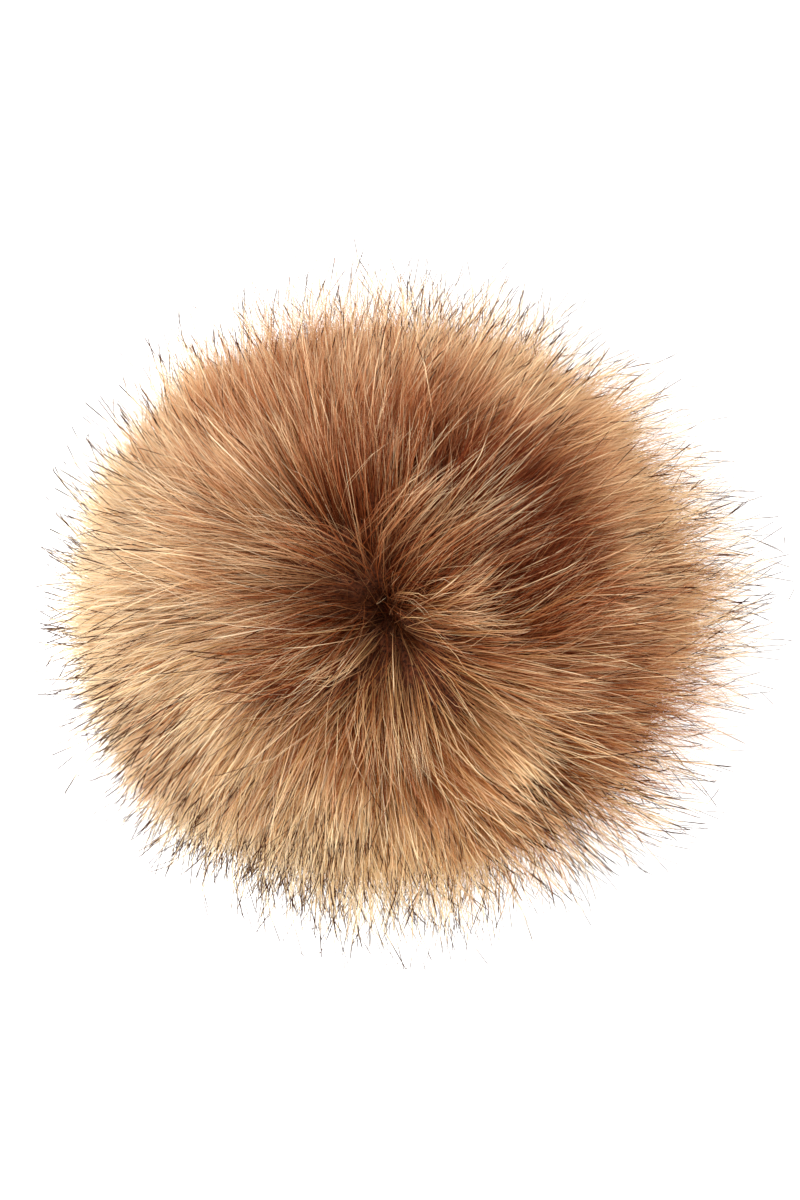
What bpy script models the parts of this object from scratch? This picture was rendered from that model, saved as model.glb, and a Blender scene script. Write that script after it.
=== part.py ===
"""A long-pile faux-fur pom pom, resting on a flat surface with its parting on top.

Metres, +Z up. The origin is on that surface, under the middle of the pom pom's box. The pom pom is one closed solid:
a dense ball of fur, dimpled and creased where the fabric is gathered shut, with tapered locks of hair combed away from
the crease. Each lock is four-sided and is fused to the ball at its root alone.
"""

import math
import random

import bmesh
import bpy
from mathutils import Vector

MM = 0.001
UP = Vector((0.0, 0.0, 1.0))

# The ball, and the flat spot that its own weight presses into it
POLE_REACH = 69.0 * MM  # from the ball's centre to the hair tips, straight up or down
BODY_SHARE = 0.75  # the dense ball's radius as a share of the reach
UNDERSIDE_SHARE = 0.80  # the same straight down, where the hair is pressed together
FLAT_SPOT_RADIUS = 14.0 * MM
SURFACE_BLEND = 2.0 * MM  # how softly the ball rounds into its flat spot
FLAT_SPOT_RINGS = (  # share of the flat spot's radius, points
    (0.0, 1),
    (0.5, 9),
    (0.98, 16),
)

# How far the hair tips reach from the ball's centre, seen from above: azimuth in degrees from +X, reach in mm
REACH_BY_AZIMUTH = (
    (0, 70.0),
    (30, 67.5),
    (60, 67.0),
    (90, 67.0),
    (120, 71.0),
    (150, 71.0),
    (180, 69.5),
    (210, 72.5),
    (240, 68.5),
    (270, 68.0),
    (300, 68.0),
    (330, 69.0),
)

# The gather on top, where the ball is drawn shut, a little off its middle
PARTING = Vector((-6.8, -1.0, 0.0)) * MM
DIMPLE_DEPTH = 12.0 * MM
DIMPLE_SPREAD = math.radians(21)
CREASE_DEPTH = 11.0 * MM
CREASE_HALF_WIDTH = 2.8 * MM
CREASE_LINE = (  # seen from above, from the parting: x and y in mm, share of the depth
    (-3.2, 3.0, 0.25),
    (-0.6, 0.7, 0.9),
    (0.9, -1.7, 1.0),
    (2.4, -4.6, 1.0),
    (4.6, -7.0, 0.9),
    (7.4, -9.2, 0.3),
)

# The locks
ROOT_PLACES = 316  # over the whole ball; those in the crease and on the flat spot stay bare
BARE_ANGLE = math.radians(6.8)  # on every side of the crease
LOWEST_ROOT = 2.6 * MM
ROOT_HALF_WIDTH = 3.9 * MM
ROOT_HALF_THICKNESS = 3.0 * MM
LOCK_SECTIONS = (  # share of the length; shares of the root's width and thickness left there
    (0.36, 0.80, 0.60),
    (0.70, 0.46, 0.32),
)
PARTED_LEAN = math.radians(21)  # away from the parting, root to tip, for the locks next to it
PARTED_FADE = 4  # how fast that lean fades towards the underside
SIDE_DROOP = math.radians(5)  # the lean that the hair's own weight adds, at the sides
LEAN_CURVE = 1.25
SIDE_SWAY = math.radians(2.6)
SHORTEST_LOCK = 0.93  # of the reach
LENGTH_SPREAD = 0.14  # the longest locks reach as far as the stray hairs
SPLAY = 0.6  # how far a lock that meets the surface goes outwards, for each length that it would go under it
SEED = 7

FUR_COLOUR = (0.42, 0.21, 0.09, 1.0)
FUR_ROUGHNESS = 0.8

UNDERSIDE_RADIUS = POLE_REACH * UNDERSIDE_SHARE
FLAT_SPOT_ANGLE = math.asin(FLAT_SPOT_RADIUS / UNDERSIDE_RADIUS)
BALL_CENTRE = UP * (UNDERSIDE_RADIUS * math.cos(FLAT_SPOT_ANGLE) - SURFACE_BLEND)
DIMPLE_HEIGHT = POLE_REACH * BODY_SHARE - DIMPLE_DEPTH
PARTING_AXIS = (PARTING + UP * DIMPLE_HEIGHT).normalized()
GOLDEN_ANGLE = math.pi * (3.0 - math.sqrt(5.0))


def clear_scene():
    """Removes what a new file starts with."""
    for thing in list(bpy.data.objects):
        bpy.data.objects.remove(thing, do_unlink=True)


def reach(direction):
    """How far the hair tips reach from the ball's centre."""
    step = 360.0 / len(REACH_BY_AZIMUTH)
    place = (math.degrees(math.atan2(direction.y, direction.x)) % 360.0) / step
    row = int(place) % len(REACH_BY_AZIMUTH)
    after = (row + 1) % len(REACH_BY_AZIMUTH)
    share = 0.5 - 0.5 * math.cos(math.pi * (place - int(place)))
    side = MM * (REACH_BY_AZIMUTH[row][1] * (1.0 - share) + REACH_BY_AZIMUTH[after][1] * share)
    return side + (POLE_REACH - side) * direction.z**2


def ball_radius(direction):
    """The dense ball's radius, less the dimple at the gather."""
    angle = PARTING_AXIS.angle(direction)
    downwards = min(max(-direction.z, 0.0) / math.cos(FLAT_SPOT_ANGLE), 1.0)
    share = BODY_SHARE + (UNDERSIDE_SHARE - BODY_SHARE) * downwards**2
    return reach(direction) * share - DIMPLE_DEPTH * math.exp(-((angle / DIMPLE_SPREAD) ** 2))


def settled(point, clearance=0.0):
    """The point, raised softly where it would come nearer than the clearance to the surface below."""
    height = point.z - clearance
    if height >= SURFACE_BLEND:
        return point.copy()
    raised = max(height + SURFACE_BLEND, 0.0) ** 2 / (4.0 * SURFACE_BLEND)
    return Vector((point.x, point.y, raised + clearance))


def on_ball(direction, depth=0.0):
    """The place on the ball's skin, or at a depth under it, in this direction from the centre."""
    return settled(BALL_CENTRE + direction * (ball_radius(direction) - depth))


def turned(direction, towards, angle):
    """The direction, turned by an angle towards another one at right angles to it."""
    return (direction * math.cos(angle) + towards * math.sin(angle)).normalized()


def root_place(number):
    """The direction of one of the evenly spread roots, which spiral from the parting down to the underside."""
    height = 1.0 - 2.0 * (number + 0.5) / ROOT_PLACES
    across = PARTING_AXIS.orthogonal().normalized()
    outwards = turned(across, PARTING_AXIS.cross(across), number * GOLDEN_ANGLE)
    return PARTING_AXIS * height + outwards * math.sqrt(1.0 - height * height)


class Lock:
    """One tapered lock of hair, from its root on the ball to its tip."""

    def __init__(self, root, dice):
        self.root = root
        self.radius = ball_radius(root)
        self.combed = (root * PARTING_AXIS.dot(root) - PARTING_AXIS).normalized()
        self.across = root.cross(self.combed).normalized()
        angle = PARTING_AXIS.angle(root)
        self.lean = PARTED_LEAN * math.cos(angle / 2.0) ** PARTED_FADE + SIDE_DROOP * math.sin(angle) ** 2
        self.reach_share = SHORTEST_LOCK + LENGTH_SPREAD * dice.random()
        self.sway = SIDE_SWAY * dice.uniform(-1.0, 1.0)

    def middle(self, share, clearance):
        """The lock's middle at a share of its length, splayed outwards and level where it rests on the surface."""
        leant = turned(self.root, self.combed, self.lean * share**LEAN_CURVE)
        way = turned(leant, self.across, self.sway * share)
        free = BALL_CENTRE + way * (self.radius + (reach(way) * self.reach_share - self.radius) * share)
        raised = settled(free, clearance)
        outwards = Vector((free.x, free.y, 0.0)).normalized()
        return raised + outwards * SPLAY * (raised.z - free.z)

    def root_corners(self):
        """Directions of the root's four corners, in turn, from the one furthest from the parting."""
        long_way = ROOT_HALF_THICKNESS / self.radius
        wide_way = ROOT_HALF_WIDTH / self.radius
        return [
            turned(self.root, self.combed, long_way),
            turned(self.root, self.across, wide_way),
            turned(self.root, self.combed, -long_way),
            turned(self.root, self.across, -wide_way),
        ]

    def section(self, share, width_left, thickness_left):
        """The four corners of a section, in the same turn as the root's."""
        width = ROOT_HALF_WIDTH * width_left
        thickness = ROOT_HALF_THICKNESS * thickness_left
        middle = self.middle(share, thickness)
        ahead = self.middle(share + 0.05, thickness) - middle
        under = self.across.cross(ahead).normalized() * thickness
        aside = self.across * width
        return [middle + under, middle + aside, middle - under, middle - aside]

    def tip(self):
        """The lock's point."""
        return self.middle(1.0, 0.0)


def crease_rows():
    """(direction, depth) of the crease's two edges and of its bottom between them, row by row."""
    line = [PARTING + Vector((x, y, 0.0)) * MM for x, y, _ in CREASE_LINE]
    made = []
    for row, (_, _, share) in enumerate(CREASE_LINE):
        along = line[min(row + 1, len(line) - 1)] - line[max(row - 1, 0)]
        aside = along.cross(UP).normalized() * CREASE_HALF_WIDTH * (0.4 + share)
        for offset, depth in ((aside, 0.0), (Vector(), CREASE_DEPTH * share), (-aside, 0.0)):
            made.append(((line[row] + offset + UP * DIMPLE_HEIGHT).normalized(), depth))
    return made


def flat_spot_directions():
    """Directions of the points that hold the flat spot: its middle, an inner ring and its rim."""
    made = []
    for share, count in FLAT_SPOT_RINGS:
        for step in range(count):
            around = 2.0 * math.pi * step / count
            outwards = Vector((math.cos(around), math.sin(around), 0.0))
            made.append(turned(-UP, outwards, FLAT_SPOT_ANGLE * share))
    return made


def sort_roots():
    """(locks, bare directions): the locks that grow, and the low root places that stay plain skin."""
    dice = random.Random(SEED)
    crease = [direction for direction, _ in crease_rows()]
    locks, bare = [], []
    for number in range(ROOT_PLACES):
        root = root_place(number)
        if min(root.angle(direction) for direction in crease) < BARE_ANGLE:
            continue
        if on_ball(root).z >= LOWEST_ROOT:
            locks.append(Lock(root, dice))
        elif root.angle(-UP) > FLAT_SPOT_ANGLE * 1.2:
            bare.append(root)
    return locks, bare


def woven_skin(directions):
    """Triangles that join points spread over a ball, as places in the list of their directions."""
    skin = bmesh.new()
    for direction in directions:
        skin.verts.new(direction)
    skin.verts.index_update()
    bmesh.ops.convex_hull(skin, input=skin.verts)
    bmesh.ops.triangulate(skin, faces=skin.faces)
    triangles = [[corner.index for corner in face.verts] for face in skin.faces]
    skin.free()
    return triangles


def fur_shape():
    """(points, faces, locks): the ball's skin, woven between the roots, and the walls that rise from each root."""
    locks, bare = sort_roots()
    spots = []
    for lock in locks:
        spots += [(direction, 0.0) for direction in [lock.root, *lock.root_corners()]]
    spots += crease_rows()
    spots += [(direction, 0.0) for direction in bare + flat_spot_directions()]
    points = [on_ball(direction, depth) for direction, depth in spots]
    root_middles = set(range(0, 5 * len(locks), 5))
    skin = woven_skin([direction for direction, _ in spots])
    faces = [triangle for triangle in skin if root_middles.isdisjoint(triangle)]
    for number, lock in enumerate(locks):
        ring = [5 * number + 1 + corner for corner in range(4)]
        for section in LOCK_SECTIONS:
            above = [len(points) + corner for corner in range(4)]
            points += lock.section(*section)
            faces += [(ring[i], ring[i - 3], above[i - 3], above[i]) for i in range(4)]
            ring = above
        faces += [(ring[i], ring[i - 3], len(points)) for i in range(4)]
        points.append(lock.tip())
    return points, faces, locks


def fur_material():
    """Brown fur."""
    material = bpy.data.materials.new("fur")
    material.use_nodes = True
    shader = material.node_tree.nodes["Principled BSDF"]
    shader.inputs["Base Color"].default_value = FUR_COLOUR
    shader.inputs["Roughness"].default_value = FUR_ROUGHNESS
    shader.inputs["Metallic"].default_value = 0.0
    return material


def box_middle(points):
    """The middle of the points' box, seen from above."""
    sides = [[point[axis] for point in points] for axis in (0, 1)]
    return Vector([(min(side) + max(side)) / 2.0 for side in sides] + [0.0])


def make_pom_pom():
    """Adds the pom pom, with the middle of its box over the origin."""
    points, faces, locks = fur_shape()
    root_middles = range(0, 5 * len(locks), 5)
    middle = box_middle(points)
    mesh = bpy.data.meshes.new("fur_ball")
    mesh.from_pydata([point - middle for point in points], [], faces)
    shaped = bmesh.new()
    shaped.from_mesh(mesh)
    shaped.verts.ensure_lookup_table()
    bmesh.ops.delete(shaped, geom=[shaped.verts[number] for number in root_middles], context="VERTS")
    bmesh.ops.triangulate(shaped, faces=shaped.faces)
    bmesh.ops.recalc_face_normals(shaped, faces=shaped.faces)
    shaped.to_mesh(mesh)
    shaped.free()
    mesh.materials.append(fur_material())
    bpy.context.scene.collection.objects.link(bpy.data.objects.new("fur_ball", mesh))
    print(f"{len(locks)} locks, {len(mesh.polygons)} triangles, moved by {middle * -1000}")


clear_scene()
make_pom_pom()
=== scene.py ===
"""A long-pile faux-fur pom pom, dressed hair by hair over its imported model.

Metres, +Z up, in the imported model's frame: the parting is on top, and the pom pom rests on the floor at the
origin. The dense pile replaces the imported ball, and the hair grows from it as flat ribbons in joined meshes.
"""

import logging
import math
from dataclasses import dataclass, field
from enum import Enum

import bmesh
import bpy
import numpy as np
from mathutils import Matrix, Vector


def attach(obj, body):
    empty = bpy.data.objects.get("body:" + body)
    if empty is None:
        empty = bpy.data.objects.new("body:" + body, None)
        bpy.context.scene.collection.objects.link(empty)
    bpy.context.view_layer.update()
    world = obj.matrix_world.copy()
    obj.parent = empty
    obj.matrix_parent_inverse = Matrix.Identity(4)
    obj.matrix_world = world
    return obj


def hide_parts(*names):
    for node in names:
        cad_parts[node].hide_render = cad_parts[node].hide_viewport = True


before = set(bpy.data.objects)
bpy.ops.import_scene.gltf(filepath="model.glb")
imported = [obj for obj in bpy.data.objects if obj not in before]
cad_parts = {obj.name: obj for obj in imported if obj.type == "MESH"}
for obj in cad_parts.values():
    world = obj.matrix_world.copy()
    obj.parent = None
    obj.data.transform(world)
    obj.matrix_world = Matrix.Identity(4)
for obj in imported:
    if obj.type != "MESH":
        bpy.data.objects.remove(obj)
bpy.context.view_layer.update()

LOG = logging.getLogger("pom_pom")
MM = 0.001
UP = np.array((0.0, 0.0, 1.0))
FULL_TURN = 2.0 * math.pi
GOLDEN_ANGLE = math.pi * (3.0 - math.sqrt(5.0))
LEAST_LENGTH = 1e-12
FRAME_NODE = "fur_ball"
BODY = "root"
MAP_NAME = "OFBake"

Colour = tuple[float, float, float, float]
Span = tuple[float, float]
Waves = tuple[np.ndarray, np.ndarray]

BLACK: Colour = (0.0, 0.0, 0.0, 1.0)
WHITE: Colour = (1.0, 1.0, 1.0, 1.0)


def unit(vectors: np.ndarray) -> np.ndarray:
    """The vectors, each brought to a length of one."""
    return vectors / np.maximum(np.linalg.norm(vectors, axis=-1, keepdims=True), LEAST_LENGTH)


def dots(first: np.ndarray, second: np.ndarray) -> np.ndarray:
    """The dot product of each pair of vectors."""
    return np.sum(first * second, axis=-1)


def turned(way: np.ndarray, towards: np.ndarray, angle: np.ndarray) -> np.ndarray:
    """Directions, each turned by an angle towards another one at right angles to it."""
    return unit(way * np.cos(angle)[..., None] + towards * np.sin(angle)[..., None])


def eased(value: np.ndarray, low: float, high: float) -> np.ndarray:
    """How far a value has gone from low to high, from 0 to 1, with soft ends."""
    share = np.clip((value - low) / (high - low), 0.0, 1.0)
    return share * share * (3.0 - 2.0 * share)


def degrees(low: float, high: float) -> Span:
    """A span of angles in radians, from its ends in degrees."""
    return math.radians(low), math.radians(high)


class Tint(Enum):
    """The hue families of the fur, in the order in which they lie across the colour map."""

    ROSY = 0
    TAN = 1
    GOLDEN = 2
    CREAM = 3


class Layer(Enum):
    """The kinds of hair in the pile."""

    UNDERFUR = "underfur"
    GUARD = "guard_hair"
    STRAY = "stray_hair"
    WISP = "parting_wisps"


@dataclass(frozen=True)
class TintColours:
    """One hue family's colours in linear light, and where round the ball it is strongest.

    Args:
        dusky: the darkest hairs.
        middle: the common hairs.
        pale: the palest hairs.
        azimuth: degrees from +X, seen from above.
        off_crown: how strongly it keeps away from the parting.
    """

    dusky: Colour
    middle: Colour
    pale: Colour
    azimuth: float
    off_crown: float


PALETTE = {
    Tint.ROSY: TintColours(
        dusky=(0.15, 0.029, 0.010, 1.0),
        middle=(0.54, 0.186, 0.066, 1.0),
        pale=(0.86, 0.58, 0.33, 1.0),
        azimuth=90.0,
        off_crown=0.0,
    ),
    Tint.TAN: TintColours(
        dusky=(0.14, 0.026, 0.008, 1.0),
        middle=(0.50, 0.160, 0.053, 1.0),
        pale=(0.83, 0.54, 0.29, 1.0),
        azimuth=0.0,
        off_crown=0.0,
    ),
    Tint.GOLDEN: TintColours(
        dusky=(0.19, 0.044, 0.012, 1.0),
        middle=(0.65, 0.275, 0.084, 1.0),
        pale=(0.89, 0.66, 0.34, 1.0),
        azimuth=262.0,
        off_crown=3.2,
    ),
    Tint.CREAM: TintColours(
        dusky=(0.34, 0.120, 0.045, 1.0),
        middle=(0.63, 0.31, 0.128, 1.0),
        pale=(0.84, 0.73, 0.55, 1.0),
        azimuth=178.0,
        off_crown=4.0,
    ),
}


@dataclass(frozen=True)
class BallForm:
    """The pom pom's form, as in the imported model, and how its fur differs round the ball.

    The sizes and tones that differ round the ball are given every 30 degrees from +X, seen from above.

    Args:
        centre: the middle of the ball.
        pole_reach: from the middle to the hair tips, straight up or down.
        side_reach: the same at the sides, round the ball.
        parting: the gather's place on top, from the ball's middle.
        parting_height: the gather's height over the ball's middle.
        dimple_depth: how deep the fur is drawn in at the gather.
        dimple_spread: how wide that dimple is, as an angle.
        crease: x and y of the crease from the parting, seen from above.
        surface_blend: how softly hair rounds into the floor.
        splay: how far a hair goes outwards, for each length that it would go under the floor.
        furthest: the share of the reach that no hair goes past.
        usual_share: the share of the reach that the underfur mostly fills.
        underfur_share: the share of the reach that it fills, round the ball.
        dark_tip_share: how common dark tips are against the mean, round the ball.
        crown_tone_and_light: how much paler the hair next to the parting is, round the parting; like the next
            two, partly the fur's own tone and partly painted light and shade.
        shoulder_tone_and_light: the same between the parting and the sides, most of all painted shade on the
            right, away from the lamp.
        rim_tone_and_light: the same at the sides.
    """

    centre: tuple[float, float, float] = (-0.19 * MM, 0.33 * MM, 51.40 * MM)
    pole_reach: float = 69.0 * MM
    side_reach: tuple[float, ...] = tuple(
        MM * size for size in (70.0, 67.5, 67.0, 67.0, 71.0, 71.0, 69.5, 72.5, 68.5, 68.0, 68.0, 69.0)
    )
    parting: tuple[float, float] = (-6.8 * MM, -1.0 * MM)
    parting_height: float = 42.2 * MM
    dimple_depth: float = 13.0 * MM
    dimple_spread: float = math.radians(21)
    crease: tuple[tuple[float, float], ...] = (
        (-2.6 * MM, 2.4 * MM),
        (-0.6 * MM, 0.7 * MM),
        (0.9 * MM, -1.7 * MM),
        (2.4 * MM, -4.6 * MM),
        (4.6 * MM, -7.0 * MM),
        (7.0 * MM, -8.9 * MM),
    )
    surface_blend: float = 2.0 * MM
    splay: float = 0.6
    furthest: float = 1.09
    usual_share: float = 0.80
    underfur_share: tuple[float, ...] = (
        0.765, 0.785, 0.83, 0.81, 0.80, 0.91, 1.00, 0.93, 0.80, 0.785, 0.765, 0.755,
    )
    dark_tip_share: tuple[float, ...] = (
        0.50, 0.3, 0.5, 0.65, 0.52, 0.40, 1.5, 2.9, 2.1, 1.7, 0.9, 0.38,
    )
    crown_tone_and_light: tuple[float, ...] = (
        -0.20, 0.56, 1.02, 1.16, 0.06, 0.10, 0.60, -0.92, -0.80, 1.08, 0.72, 0.56,
    )
    shoulder_tone_and_light: tuple[float, ...] = (
        -0.92, -0.78, -0.60, 0.20, 0.48, 0.50, 0.72, 0.98, 0.74, -0.16, 0.54, 0.44,
    )
    rim_tone_and_light: tuple[float, ...] = (
        0.18, 0.38, 0.22, 0.06, -0.08, 0.14, 0.42, 0.20, 0.18, 0.48, -0.16, -0.26,
    )

    # Directions flatter than this count as this steep where they are carried up to the gather's level.
    LEAST_STEEPNESS = 0.05

    def axis(self) -> np.ndarray:
        """The direction of the parting from the ball's middle."""
        return unit(np.array((*self.parting, self.parting_height)))

    def from_parting(self, way: np.ndarray) -> np.ndarray:
        """The angle between each direction and the parting."""
        return np.arccos(np.clip(way @ self.axis(), -1.0, 1.0))

    def reach(self, way: np.ndarray) -> np.ndarray:
        """How far the hair tips reach from the ball's middle in each direction."""
        side = self.round_the_side(way, self.side_reach)
        return side + (self.pole_reach - side) * way[..., 2] ** 2

    def round_the_side(self, way: np.ndarray, values: tuple[float, ...]) -> np.ndarray:
        """A size that changes round the ball, eased between the directions that it is given for.

        Args:
            way: directions.
            values: the size every 30 degrees from +X, seen from above.

        Returns:
            The size for each direction.
        """
        table = np.array(values)
        place = (np.arctan2(way[..., 1], way[..., 0]) / FULL_TURN % 1.0) * len(table)
        row = np.floor(place).astype(int) % len(table)
        share = 0.5 - 0.5 * np.cos(math.pi * (place - np.floor(place)))
        return table[row] * (1.0 - share) + table[(row + 1) % len(table)] * share

    def skin(self, way: np.ndarray, share: float) -> np.ndarray:
        """How far out the skin at a share of the reach lies in each direction, less the dimple."""
        dimple = self.dimple_depth * np.exp(-((self.from_parting(way) / self.dimple_spread) ** 2))
        return self.reach(way) * share - dimple

    def off_crease(self, way: np.ndarray) -> tuple[np.ndarray, np.ndarray]:
        """The nearest place of the crease, and how far away it is.

        Args:
            way: directions.

        Returns:
            The direction of the nearest place on the crease for each, and the distance to it at the gather's
            height, which is large on the lower half.
        """
        steepness = np.maximum(way[..., 2], self.LEAST_STEEPNESS)
        flat = way[..., :2] * (self.parting_height / steepness)[..., None]
        flat = flat - np.array(self.parting)
        nearest = np.zeros_like(flat)
        least = np.full(flat.shape[:-1], np.inf)
        for start, end in zip(self.crease, self.crease[1:]):
            first = np.array(start)
            along = np.array(end) - first
            share = np.clip((flat - first) @ along / (along @ along), 0.0, 1.0)
            place = first + share[..., None] * along
            away = np.linalg.norm(flat - place, axis=-1)
            nearest = np.where((away < least)[..., None], place, nearest)
            least = np.minimum(least, away)
        height = np.full((*least.shape, 1), self.parting_height)
        return unit(np.concatenate([nearest + np.array(self.parting), height], axis=-1)), least

    def held_in(self, points: np.ndarray) -> np.ndarray:
        """Brings points past the furthest share of the reach back to it.

        Args:
            points: places in the model's frame.

        Returns:
            The new places.
        """
        away = points - np.array(self.centre)
        out = np.linalg.norm(away, axis=-1)
        way = unit(away)
        return np.array(self.centre) + way * np.minimum(out, self.reach(way) * self.furthest)[..., None]

    def settled(self, points: np.ndarray, clearance: float) -> np.ndarray:
        """Raises points softly off the floor, and pushes them outwards where they would go under it.

        Args:
            points: places in the model's frame.
            clearance: the least height.

        Returns:
            The new places.
        """
        height = points[..., 2] - clearance
        blend = self.surface_blend
        eased_height = np.maximum(height + blend, 0.0) ** 2 / (4.0 * blend)
        raised = np.where(height < blend, eased_height, height) + clearance
        outwards = points[..., :2] - np.array(self.centre[:2])
        outwards = unit(outwards) * (self.splay * (raised - points[..., 2]))[..., None]
        return np.concatenate([points[..., :2] + outwards, raised[..., None]], axis=-1)


@dataclass(frozen=True)
class Zones:
    """The angles from the parting between which the fur changes, and the widths beside the crease.

    Args:
        middle: out of the middle of the parting, which is darkened as painted shade.
        crown: from the crown to the shoulder.
        rim: from the shoulder to the rim.
        rise: over which the hair grows paler away from the parting, partly its own colour and partly painted
            shade leaving the dimple.
        edge: over which it grows paler again near the widest level, as painted light at the rim.
        crease: distances from the crease over which its painted shade ends.
        tufted: from hair that gathers more to hair that gathers as usual.
        roomy: from hair with little room to stray to hair with plenty.
        tipped: from few dark tips to the usual number.
        hued: from the parting's own hues to all of them.
        flowing: from hair that lies straight to hair that flows with the slow pattern.
        thinned: from a layer's full number of hairs to its thinned number.
    """

    middle: Span = degrees(1.5, 6.5)
    crown: Span = degrees(7, 21)
    rim: Span = degrees(17, 45)
    rise: Span = degrees(4, 60)
    edge: Span = degrees(58, 80)
    crease: Span = (2.0 * MM, 8.0 * MM)
    tufted: Span = degrees(10, 35)
    roomy: Span = degrees(5, 26)
    tipped: Span = degrees(16, 42)
    hued: Span = degrees(8, 48)
    flowing: Span = degrees(0, 30)
    thinned: Span = degrees(25, 50)


@dataclass(frozen=True)
class Toning:
    """What each cause adds to a hair's tone, which runs from 0 at the darkest to 1 at the palest.

    Args:
        parting: everywhere, before the rise; with the rise, it makes hair near the parting darker, partly its
            own colour and partly painted shade in the dimple.
        rise: away from the parting.
        edge: near the widest level, as painted light at the rim.
        crown: next to the parting.
        middle: in the middle of the parting, as painted shade.
        crease: on the crease, as painted shade.
        mottle: at the height of the mottled pattern.
        pale_and_highlit_strand: to a light strand, partly a paler hair and partly a painted highlight.
        dark_tipped: to a hair with a dark tip.
        crown_tufts: how much more tufts and locks differ at the crown.
        rim_tufts: how much less they differ at the rim.
        rim_spread: how much less single hairs differ at the rim.
    """

    parting: float = -0.38
    rise: float = 0.42
    edge: float = 0.15
    crown: float = 0.10
    middle: float = -0.40
    crease: float = -0.22
    mottle: float = 0.06
    # Light strands are partly paler hairs and partly painted highlights.
    pale_and_highlit_strand: float = 0.35
    dark_tipped: float = 0.20
    crown_tufts: float = 0.45
    rim_tufts: float = 0.5
    rim_spread: float = 0.45


@dataclass(frozen=True)
class Bundling:
    """How the hair gathers into bundles of one size.

    Args:
        count: the number of bundles over the ball.
        jitter: how far each may stand from its even place, as a share of the spacing.
        lean_spread: how much their lean varies.
        sway_spread: how much their sway varies.
        pull: the weakest and strongest pull on their hairs.
        tone_spread: how much their tone varies.
        length_spread: how much their hairs' length varies, as a share of the reach.
    """

    count: int
    jitter: float
    lean_spread: float
    sway_spread: float
    pull: Span
    tone_spread: float
    length_spread: float


TUFTS = Bundling(
    count=3700,
    jitter=0.7,
    lean_spread=math.radians(6.0),
    sway_spread=math.radians(9.0),
    pull=(0.30, 0.85),
    tone_spread=0.17,
    length_spread=0.040,
)
LOCKS = Bundling(
    count=330,
    jitter=0.6,
    lean_spread=math.radians(4.5),
    sway_spread=math.radians(7.5),
    pull=(0.20, 0.55),
    tone_spread=0.13,
    length_spread=0.020,
)


@dataclass
class Comb:
    """The lie of a set of hairs or tufts: which way each grows and how it leans.

    Args:
        root: the directions of the roots from the ball's middle.
        combed: at right angles to the root, away from the crease.
        across: at right angles to both.
        lean: the angle that each leans away from the crease by its tip.
        sway: the angle that it leans to one side by its tip.
    """

    root: np.ndarray
    combed: np.ndarray
    across: np.ndarray
    lean: np.ndarray
    sway: np.ndarray

    # The lean grows with this power of the share of the length.
    LEAN_CURVE = 1.25
    # Hair is pulled towards its bundle from none to fully between these agreements of their combs.
    AGREEMENT = (0.3, 0.9)

    def picked(self, rows: np.ndarray) -> "Comb":
        """The same values for chosen rows."""
        return Comb(self.root[rows], self.combed[rows], self.across[rows], self.lean[rows], self.sway[rows])

    def agreement(self, other: "Comb") -> np.ndarray:
        """How far each is combed the same way as in the other, from 0 across the crease to 1."""
        return eased(dots(self.combed, other.combed), *self.AGREEMENT)

    def middles(
        self, form: BallForm, shares: np.ndarray, starts: np.ndarray, ends: np.ndarray
    ) -> np.ndarray:
        """Places along each hair.

        Args:
            form: the ball's form.
            shares: shares of the length, a row for each hair.
            starts: how far out each hair begins.
            ends: the share of the reach at which it ends.

        Returns:
            A row of points for each hair.
        """
        lean = self.lean[:, None] * shares**self.LEAN_CURVE
        way = turned(self.root[:, None, :], self.combed[:, None, :], lean)
        way = turned(way, np.broadcast_to(self.across[:, None, :], way.shape), self.sway[:, None] * shares)
        out = starts[:, None] + (form.reach(way) * ends[:, None] - starts[:, None]) * shares
        return np.array(form.centre) + way * out[..., None]


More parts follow.
